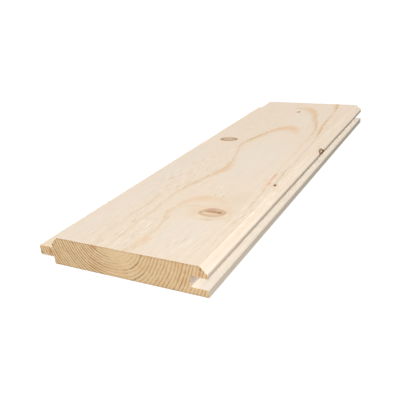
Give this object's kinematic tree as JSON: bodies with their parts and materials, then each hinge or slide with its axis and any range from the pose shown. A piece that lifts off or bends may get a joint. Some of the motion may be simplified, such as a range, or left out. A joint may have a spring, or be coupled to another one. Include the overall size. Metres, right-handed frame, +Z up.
{
  "type": "tongue and groove board",
  "caption": "Planed softwood board with a tongue along one long edge, a groove along the other and bevelled V-joint edges on its show face; boards slot together to cover a wall, roof or floor.",
  "frame": {"origin": "on the flat back face, midway along the board and midway across its overall width, tongue included", "axes": "+X across the board from the tongue to the groove, +Y along the grain, +Z up out of the bevelled show face"},
  "size_m": [0.145, 0.45, 0.023],
  "materials": {
    "planed_softwood": "matte"
  },
  "bodies": {
    "root": {"board": "planed_softwood"}
  },
  "joints": []
}
